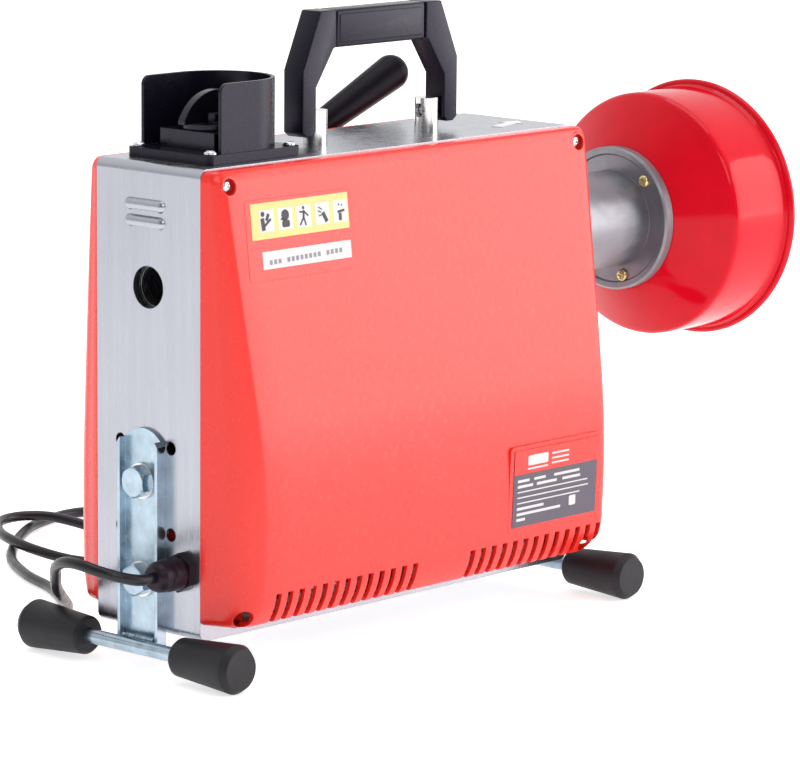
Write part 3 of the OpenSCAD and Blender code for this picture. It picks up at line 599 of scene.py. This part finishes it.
def cover_column():
    """(thickness, height) points of a cover's upright section, from its top edge down."""
    points = [(8.6, COVER_Z1), (9.5, 308.4), (10.2, 307.0), (11.6, 303.8), (12.4, 302.0), (12.8, 300.8)]
    steps = 34
    for i in range(steps + 1):
        z = TOP_Z - (TOP_Z - LOW_Z) * i / steps
        points.append((soft_t(z) - (0.1 if i == 0 else 0), z))
    for angle in (4, 8, 12, 16, 20, 24, 28, 31, LOW_ANGLE):
        a = math.radians(angle)
        points.append((LOW_T - LOW_R + LOW_R * math.cos(a), LOW_Z - LOW_R * math.sin(a)))
    return points + [(25.2, 11.3), (24.0, COVER_Z0)]


def corner_cut(z, r):
    """How far a rounded upper corner of radius r steps in at height z."""
    over = max(0.0, z - (COVER_Z1 - r))
    return r - math.sqrt(max(0.0, r * r - over * over))


def cover_row(t, z, inset):
    """(x, y past the frame's side) points across a cover at one height, all inset by a wall."""
    under = max(0.0, COVER_Z0 + NOSE_R - z)
    low = min(1.0, max(0.0, (290 - z) / 150))
    corner = corner_cut(z, TOP_CORNER_R)
    front = max(NOSE_R - math.sqrt(max(0.0, NOSE_R * NOSE_R - under * under)), corner)
    rear = COVER_L - max(1.2 * max(0.0, 21 - z), corner)
    crease = min(30.0, 4.3 + (0.54 + 0.12 * low) * t + 0.6 * front)
    reach = crease - front
    row = [(front, 0.0), (front, 0.03), (front + reach * 0.11, 0.26), (front + reach * 0.205, 0.455)]
    steps = 10
    for i in range(steps + 1):
        a = math.radians(180 - 90 * i / steps)
        across, out = abs(math.cos(a)) ** FACET, math.sin(a) ** FACET
        row.append((crease - 0.79 * reach * across, 0.479 + 0.521 * out))
    row += [(crease + (rear - 12 - crease) * i / 16, 1.0) for i in range(1, 17)]
    r = min(8.0, 0.6 * t + 1)
    for i in range(8):
        a = math.radians(90 - 90 * i / 7)
        row.append((rear - r + r * math.cos(a), 1.0 - (1 - math.sin(a)) * min(0.9, r / t)))
    row += [(rear, 0.04), (rear, 0.0)]
    points = []
    for x, share in row:
        y = t * share
        if inset:
            ahead = max(0.0, 1 - (x - front) / reach)
            behind = max(0.0, (x - (rear - r)) / r)
            x += inset * (ahead - behind)
            y = max(-1.0, y - inset) if share > 0.04 else -1.0
        points.append((x, y))
    return points


def cover_solid(name, side, inset=0.0):
    """A closed body with a cover's outside form, or the hollow that its wall leaves."""
    verts, faces = [], []
    column = cover_column()
    for t, z in column:
        z_in = min(max(z, COVER_Z0 + inset), COVER_Z1 - inset)
        row = cover_row(t, z, inset)
        verts += [at(x, side * (HALF_W + y), z_in) for x, y in row]
    width, last = len(row), (len(column) - 1) * len(row)
    for i in range(len(column) - 1):
        for j in range(width):
            a, b = i * width + j, i * width + (j + 1) % width
            faces.append((a, b, b + width, a + width))
    faces += [tuple(range(width)), tuple(range(last + width - 1, last - 1, -1))]
    solid = new_piece(name, verts, faces, "red_plastic", smooth=30)
    weld(solid)
    return solid


def carve(obj, tool):
    """Takes the tool's body out of the object."""
    use(obj, "BOOLEAN", operation="DIFFERENCE", solver="EXACT", object=tool)
    bpy.data.objects.remove(tool)


def cutter(fill):
    """An object made of what fill adds to an empty bmesh."""
    mesh = bpy.data.meshes.new("cutter")
    bm = bmesh.new()
    fill(bm)
    bm.to_mesh(mesh)
    bm.free()
    tool = bpy.data.objects.new("cutter", mesh)
    bpy.context.collection.objects.link(tool)
    return tool


def vent_slots(bm, side):
    """Blocks that cut the cooling slots along a cover's lower edge."""
    for x0 in VENT_STARTS:
        for i in range(VENT_COUNT):
            middle = at(x0 + i * VENT_PITCH + VENT_W / 2, side * (HALF_W + VENT_IN + 15), VENT_TOP / 2)
            scale = Matrix.Diagonal((VENT_W * MM, 30 * MM, VENT_TOP * MM, 1))
            bmesh.ops.create_cube(bm, size=1, matrix=Matrix.Translation(middle) @ scale)


def counterbores(bm, side):
    """Cylinders that open the screw recesses in a cover's face."""
    for x, z in SCREWS_AT:
        turn = Matrix.Translation(at(x, side * (HALF_W + 25), z)) @ Matrix.Rotation(math.pi / 2, 4, "X")
        bmesh.ops.create_cone(bm, cap_ends=True, segments=40, radius1=RECESS_R * MM,
                              radius2=RECESS_R * MM, depth=(50 - 2 * SEAT) * MM, matrix=turn)


def make_cover(name, side, node):
    """One moulded cover: an open shell with vent slots and counterbored screw holes."""
    cover = cover_solid(name, side)
    carve(cover, cover_solid("hollow", side, COVER_WALL))
    carve(cover, cutter(lambda bm: vent_slots(bm, side)))
    carve(cover, cutter(lambda bm: counterbores(bm, side)))
    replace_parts(cover, node)
    return joined(cover, [make_boss(name, side, x, z) for x, z in SCREWS_AT], 30)


def make_boss(name, side, x, z):
    """The counterbored post that takes one cover screw."""
    deep = cover_t(z) - 1.4 if z > 100 else 17.5
    ring = [(2.3, 0.2), (7.0, 0.2), (7.0, deep), (RECESS_R, deep), (RECESS_R, SEAT), (2.3, SEAT)]
    return lathe(name + "_boss", ring,
                 lambda r, a, s: at(x + r * math.cos(a), side * (HALF_W + s), z + r * math.sin(a)),
                 "red_plastic", steps=40, closed=True)


# ---- printed labels -------------------------------------------------------------------
def box_shape(x0, z0, x1, z1, r=0.0):
    """A rectangle, with round corners if r is given."""
    if not r:
        return [(x0, z0), (x1, z0), (x1, z1), (x0, z1)]
    return (arc(x1 - r, z0 + r, r, -90, 0, 4) + arc(x1 - r, z1 - r, r, 0, 90, 4)
            + arc(x0 + r, z1 - r, r, 90, 180, 4) + arc(x0 + r, z0 + r, r, 180, 270, 4))


def disc_shape(x, z, r):
    return arc(x, z, r, 0, 340, 17)


def bar_shape(x0, z0, x1, z1, w):
    """A bar of width w from one point to another."""
    along = Vector((x1 - x0, z1 - z0)).normalized() * (w / 2)
    side = Vector((-along.y, along.x))
    return [(x0 - side.x, z0 - side.y), (x1 - side.x, z1 - side.y),
            (x1 + side.x, z1 + side.y), (x0 + side.x, z0 + side.y)]


def decal(name, shapes, slot, lift, thick=0.1, look=None):
    """Thin printed shapes lying on the near cover, lift mm over its face."""
    verts, faces = [], []
    for shape in shapes:
        n, first = len(shape), len(verts)
        for h in (lift, lift + thick):
            verts += [at(x, -(HALF_W + cover_t(z) + h), z) for x, z in shape]
        faces.append(tuple(range(first, first + n)))
        faces.append(tuple(range(first + 2 * n - 1, first + n - 1, -1)))
        faces += [(first + i, first + (i + 1) % n, first + n + (i + 1) % n, first + n + i)
                  for i in range(n)]
    return new_piece(name, verts, faces, slot, look=look)


LABEL_T, PLATE_T = 0.4, 0.5
FIELD_X, FIELD_PITCH = 37.5, 17.3


def make_labels():
    """Plain symbols on the yellow label, and plain bars on the white strip and the plate."""
    fields, signs = [], []
    for i in range(5):
        x, z = FIELD_X + FIELD_PITCH * i, 267.5
        fields.append(box_shape(x, z, x + 13.2, z + 14.4, 0.5))
    x = FIELD_X
    signs += [disc_shape(x + 3.2, 279.2, 1.7), bar_shape(x + 3.4, 268.6, x + 2.6, 276.6, 3.4),
              bar_shape(x + 4.2, 271.4, x + 10.4, 275.6, 1.7),
              bar_shape(x + 6.2, 274.8, x + 8.6, 279.0, 2.4)]
    x += FIELD_PITCH
    signs += [disc_shape(x + 6.6, 276.9, 3.6), box_shape(x + 3.4, 269.0, x + 10.4, 273.6, 1.4),
              bar_shape(x + 2.2, 274.6, x + 6.4, 274.0, 1.2)]
    x += FIELD_PITCH
    signs += [disc_shape(x + 6.4, 280.0, 1.1), bar_shape(x + 6.8, 278.4, x + 6.2, 273.6, 1.8),
              bar_shape(x + 6.2, 273.6, x + 2.6, 268.9, 1.3),
              bar_shape(x + 6.4, 273.6, x + 8.2, 268.4, 1.3),
              bar_shape(x + 2.6, 277.6, x + 6.8, 277.2, 1.2),
              bar_shape(x + 6.8, 277.6, x + 10.8, 274.4, 1.2)]
    x += FIELD_PITCH
    signs += [bar_shape(x + 7.2, 275.2, x + 10.6, 269.0, 3.0),
              bar_shape(x + 3.4, 279.0, x + 6.6, 277.2, 0.8),
              bar_shape(x + 2.8, 276.6, x + 5.8, 275.4, 0.8),
              bar_shape(x + 3.4, 273.2, x + 6.0, 273.8, 0.8)]
    x += FIELD_PITCH
    signs += [bar_shape(x + 6.0, 268.6, x + 6.2, 273.4, 2.8),
              bar_shape(x + 3.8, 274.2, x + 10.4, 275.0, 1.6),
              disc_shape(x + 5.2, 279.0, 0.7), disc_shape(x + 8.0, 278.4, 0.6)]
    decal("label_panel", [box_shape(25, 236, 124, 289, 3)], "red_plastic", 0.02, 0.16)
    decal("plate_panel", [box_shape(264, 37, 359, 98, 3)], "red_plastic", -2.4, 2.5)
    decal("hazard_fields", fields, "white_label", LABEL_T, 0.1)
    decal("hazard_signs", signs, "grey_label", LABEL_T + 0.1, look="sign_print")
    marks = [bar_shape(44 + 4.1 * i, 247.6 + 0.1 * i, 44 + 4.1 * i + 2.6, 247.7 + 0.1 * i, 3.0)
             for i in range(17) if i not in (3, 12)]
    decal("serial_marks", marks, "grey_label", LABEL_T, 0.06, look="faint_print")
    decal("plate_header", [box_shape(268, 78, 356, 95)], "red_plastic", PLATE_T, 0.1)
    lines = [box_shape(282, 83.5, 303, 90.5, 1.2), box_shape(282, 80.6, 303, 81.8)]
    lines += [box_shape(307, 81.6 + 3.4 * i, 325, 82.8 + 3.4 * i) for i in range(3)]
    rows = [[(272, 284), (289, 301), (310, 337)], [(272, 288), (292, 313), (319, 338)], [(272, 346)],
            [(272, 347)], [(272, 338)], [(272, 300)], [(272, 318)], [(272, 281)]]
    for i, row in enumerate(rows):
        thick = 1.9 if i in (0, 1, 5, 6, 7) else 0.9
        z = 73.4 - 3.9 * i
        lines += [box_shape(x0, z - thick / 2, x1, z + thick / 2) for x0, x1 in row]
    lines += [box_shape(327, 49.0, 334, 56.0, 1.0)]
    decal("plate_lines", lines, "white_label", PLATE_T + 0.1, 0.06)


# ---- screw heads ----------------------------------------------------------------------
def head_shape(r, h, steps=28):
    """A domed head with a cross recess, standing on z = 0: (points, faces), in mm."""
    bm = bmesh.new()
    profile = [(r * 0.96, 0.0), (r, h * 0.12), (r, h * 0.34), (r * 0.94, h * 0.62),
               (r * 0.74, h * 0.88), (r * 0.42, h * 0.99), (0.0, h)]
    turns = [2 * math.pi * i / steps for i in range(steps)]
    rings = [[bm.verts.new((q * math.cos(a), q * math.sin(a), z)) for a in turns] for q, z in profile[:-1]]
    tip = bm.verts.new((0, 0, h))
    for low, high in zip(rings, rings[1:]):
        for i in range(steps):
            bm.faces.new((low[i], low[(i + 1) % steps], high[(i + 1) % steps], high[i]))
    for i in range(steps):
        bm.faces.new((rings[-1][i], rings[-1][(i + 1) % steps], tip))
    bm.faces.new(rings[0][::-1])
    head = bpy.data.meshes.new("head")
    bm.to_mesh(head)
    bm.clear()
    for turn in (0, 1):
        arm = (r * 1.15, r * 0.26, h * 0.9) if turn == 0 else (r * 0.26, r * 1.15, h * 0.9)
        lift = Matrix.Translation((0, 0, h * 0.98)) @ Matrix.Diagonal((*arm, 1))
        bmesh.ops.create_cube(bm, size=1, matrix=lift)
    cross = bpy.data.meshes.new("cross")
    bm.to_mesh(cross)
    bm.free()
    body, tool = bpy.data.objects.new("head", head), bpy.data.objects.new("cross", cross)
    bpy.context.collection.objects.link(body)
    bpy.context.collection.objects.link(tool)
    use(body, "BOOLEAN", operation="DIFFERENCE", solver="EXACT", object=tool, use_self=True)
    points = [v.co.copy() for v in body.data.vertices]
    faces = [tuple(p.vertices) for p in body.data.polygons]
    bpy.data.objects.remove(body)
    bpy.data.objects.remove(tool)
    return points, faces


def screw_heads(name, shape, places, slot):
    """Copies of one head shape: each place is (frame point in mm, outward direction, turn)."""
    verts, faces = [], []
    for place, out, turn in places:
        aim = Vector(out).to_track_quat("Z", "Y").to_matrix() @ Matrix.Rotation(math.radians(turn), 3, "Z")
        first = len(verts)
        verts += [at(*(Vector(place) + aim @ p)) for p in shape[0]]
        faces += [tuple(first + k for k in face) for face in shape[1]]
    return new_piece(name, verts, faces, slot, smooth=35)


BOWL_SCREW_R, BOWL_SCREW_ANGLES = 42, (15, 135, 255)
GUARD_AT, GUARD_SCREWS = (60.5, 0), (36.5, 33)
PLATE_TOP = 316.5


def bowl_screw_place(angle):
    """(y, z) of the bowl screw at an angle round the spindle."""
    a = math.radians(angle)
    return BOWL_SCREW_R * math.cos(a), SPINDLE_Z + BOWL_SCREW_R * math.sin(a)


def screw_part(angle):
    """Shank and chamfered nut of one bowl screw."""
    y, z = bowl_screw_place(angle)
    shank = lathe("bowl_shank", [(0.0, 468.5), (2.5, 468.5), (2.5, 483.6), (2.1, 484), (0.0, 484)],
                  along_x(y, z), "yellow_zinc", steps=24)
    nut = [(2.4, 477.2), (4.3, 477.2), (4.6, 477.6), (4.6, 480.5), (4.3, 481), (2.4, 481)]
    return joined(shank, [lathe("bowl_nut", nut, along_x(y, z), "yellow_zinc", steps=6, closed=True)], 30)


def make_screws():
    """Cross recess screws of the bowl, the covers and the switch guard."""
    pan, small = head_shape(4.5, 2.9), head_shape(4.2, 2.7)
    bowl = [((468.7, *bowl_screw_place(a)), (-1, 0, 0), a * 0.7) for a in BOWL_SCREW_ANGLES]
    heads = screw_heads("bowl_screw_heads", pan, bowl, "yellow_zinc")
    shanks = [screw_part(a) for a in BOWL_SCREW_ANGLES]
    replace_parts(joined(heads, shanks, 35), "bowl_screws")
    cover = [((x, side * (HALF_W + SEAT), z), (0, side, 0), 17 * k + 31 * side)
             for side in (-1, 1) for k, (x, z) in enumerate(SCREWS_AT)]
    heads = screw_heads("cover_screw_heads", small, cover, "zinc")
    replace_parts(heads, "cover_screws")
    guard = [((GUARD_AT[0] + i * GUARD_SCREWS[0], j * GUARD_SCREWS[1], PLATE_TOP), (0, 0, 1),
              20 + 40 * i + 15 * j) for i in (-1, 1) for j in (-1, 1)]
    heads = screw_heads("guard_screw_heads", small, guard, "zinc")
    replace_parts(heads, "guard_screws")


# ---- bowl guard -----------------------------------------------------------------------
BOWL_R, BOWL_WALL = 88.5, 2.2


def make_bowl():
    """Spun bowl: conical back, straight wall and a rolled lip."""
    outer = [(20, 475.0), (49.0, 475.0), (51.5, 475.2), (53.0, 476.2)]
    outer += [(53.0 + (84.4 - 53.0) * i / 8, 476.2 + (500.0 - 476.2) * i / 8) for i in range(1, 9)]
    outer += [(86.3, 501.5), (87.7, 502.9), (88.35, 504.8), (BOWL_R, 507.0)]
    outer += [(BOWL_R, 509 + 46 * i / 6) for i in range(1, 7)]
    outer += [(88.8, 556.4), (89.4, 557.6)]
    outer += [(91.0 + 3 * math.cos(math.radians(a)), 562 + 3 * math.sin(math.radians(a)))
              for a in range(-100, 101, 20)]
    inner = [(88.9, 562.4), (87.0, 559.5), (BOWL_R - BOWL_WALL, 556.0), (BOWL_R - BOWL_WALL, 509.0),
             (85.4, 505.6), (83.6, 502.6), (52.0, 478.6), (49.0, 477.2), (20, 477.2)]
    bowl = lathe("bowl", outer + inner, along_x(0, SPINDLE_Z), "bowl_plastic", steps=128, closed=True)
    bowl.data.set_sharp_from_angle(angle=math.radians(42))
    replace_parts(bowl, "bowl_guard")


# ---- carry handle ---------------------------------------------------------------------
HANDLE_X, HANDLE_L, HANDLE_W = 212.0, 154.0, 18.0
LEG_T, SEAM_X, SEAM_GAP = 13.3, 44.5, 0.25
BAR_LOW, BAR_HIGH, LEG_LOW, LEG_SLOPE = 64, 89.5, 5.7, 17


def handle_shape(x0, x1):
    """The handle's outline between two distances from its middle."""
    a, b = HANDLE_L / 2, HANDLE_L / 2 - LEG_T
    if x1 > a - 1:
        inside = [(x0, BAR_LOW), (b - LEG_SLOPE, BAR_LOW), (b, 38.5), (b, 9), (b + 2.6, LEG_LOW)]
        return [(x0, BAR_HIGH), *inside, (a - 4, LEG_LOW), (a, 8.5), (a, 50.3), (a - LEG_SLOPE, BAR_HIGH)]
    return [(x0, BAR_LOW), (x1, BAR_LOW), (x1, BAR_HIGH), (x0, BAR_HIGH)]


def make_handle():
    """Angular bridge handle: two moulded ends and an inset middle."""
    for name, sign, node in (("handle_front_end", -1, "handle_body"), ("handle_rear_end", 1, None)):
        shape = handle_shape(SEAM_X + SEAM_GAP, HANDLE_L / 2)
        outline = [(HANDLE_X + sign * x, FRAME_H + z) for x, z in shape]
        piece = prism(name, outline, lambda p, k: at(p[0], (k - 0.5) * HANDLE_W, p[1]), "dark_plastic")
        soften(piece, 2.2, 4)
        if node:
            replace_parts(piece, node)
    shape = handle_shape(-SEAM_X + SEAM_GAP, SEAM_X - SEAM_GAP)
    outline = [(HANDLE_X + x, FRAME_H + z) for x, z in shape]
    grip = prism("handle_middle", outline, lambda p, k: at(p[0], (k - 0.5) * (HANDLE_W - 1.0), p[1]),
                 "dark_plastic")
    soften(grip, 2.0, 4)
    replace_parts(grip, "handle_grip")
    panels = []
    for side in (-1, 1):
        shape = box_shape(-SEAM_X + 3.4, 67.2, SEAM_X - 3.4, 86.2, 2)
        outline = [(HANDLE_X + x, FRAME_H + z) for x, z in shape]
        y = side * (HANDLE_W / 2 - 0.8)
        panel = prism("handle_panel", outline, lambda p, k: at(p[0], y + side * 0.7 * k, p[1]),
                      "dark_plastic")
        panels.append(soften(panel, 0.5, 2))
    joined(grip, panels)


# ---- weld beads -----------------------------------------------------------------------
def weld_bead(name, a, b, r, seed):
    """A rippled bead of weld metal between two points, in mm."""
    rng = random.Random(seed)
    a, b = Vector(a), Vector(b)
    along = (b - a).normalized()
    side = along.orthogonal().normalized()
    up = along.cross(side)
    rings, around = 34, 12
    verts, faces = [], []
    for i in range(rings):
        t = i / (rings - 1)
        swell = r * (0.35 + 0.65 * math.sin(math.pi * min(1, max(0.06, t))) ** 0.4)
        swell *= 1 + 0.16 * math.sin(i * 1.9) + 0.06 * rng.uniform(-1, 1)
        middle = a.lerp(b, t)
        verts += [at(*(middle + swell * (math.cos(k * math.tau / around) * side
                                         + math.sin(k * math.tau / around) * up))) for k in range(around)]
    for i in range(rings - 1):
        for k in range(around):
            n = (k + 1) % around
            faces.append((i * around + k, i * around + n, (i + 1) * around + n, (i + 1) * around + k))
    faces += [tuple(range(around))[::-1], tuple(range((rings - 1) * around, rings * around))]
    return new_piece(name, verts, faces, "blue_zinc")


BAR_X, BAR_Z, BRACKET_Y = -13.0, -8.0, 2.5


def make_welds():
    """The bead that joins each bracket to its foot bar."""
    for name, x, sign in (("front_weld", BAR_X, 1), ("rear_weld", FRAME_L - BAR_X, -1)):
        x, z = x + sign * 5.5, BAR_Z + 4.6
        weld_bead(name, (x, BRACKET_Y - 15, z), (x, BRACKET_Y + 15, z), 2.1, 11)


# ---- build ----------------------------------------------------------------------------
make_camera()
MATERIALS = make_materials()
make_cord()
make_studio()
make_floor()
make_cover("near_cover_shell", -1, "near_cover")
make_cover("far_cover_shell", 1, "far_cover")
make_labels()
make_screws()
make_bowl()
make_handle()
make_welds()
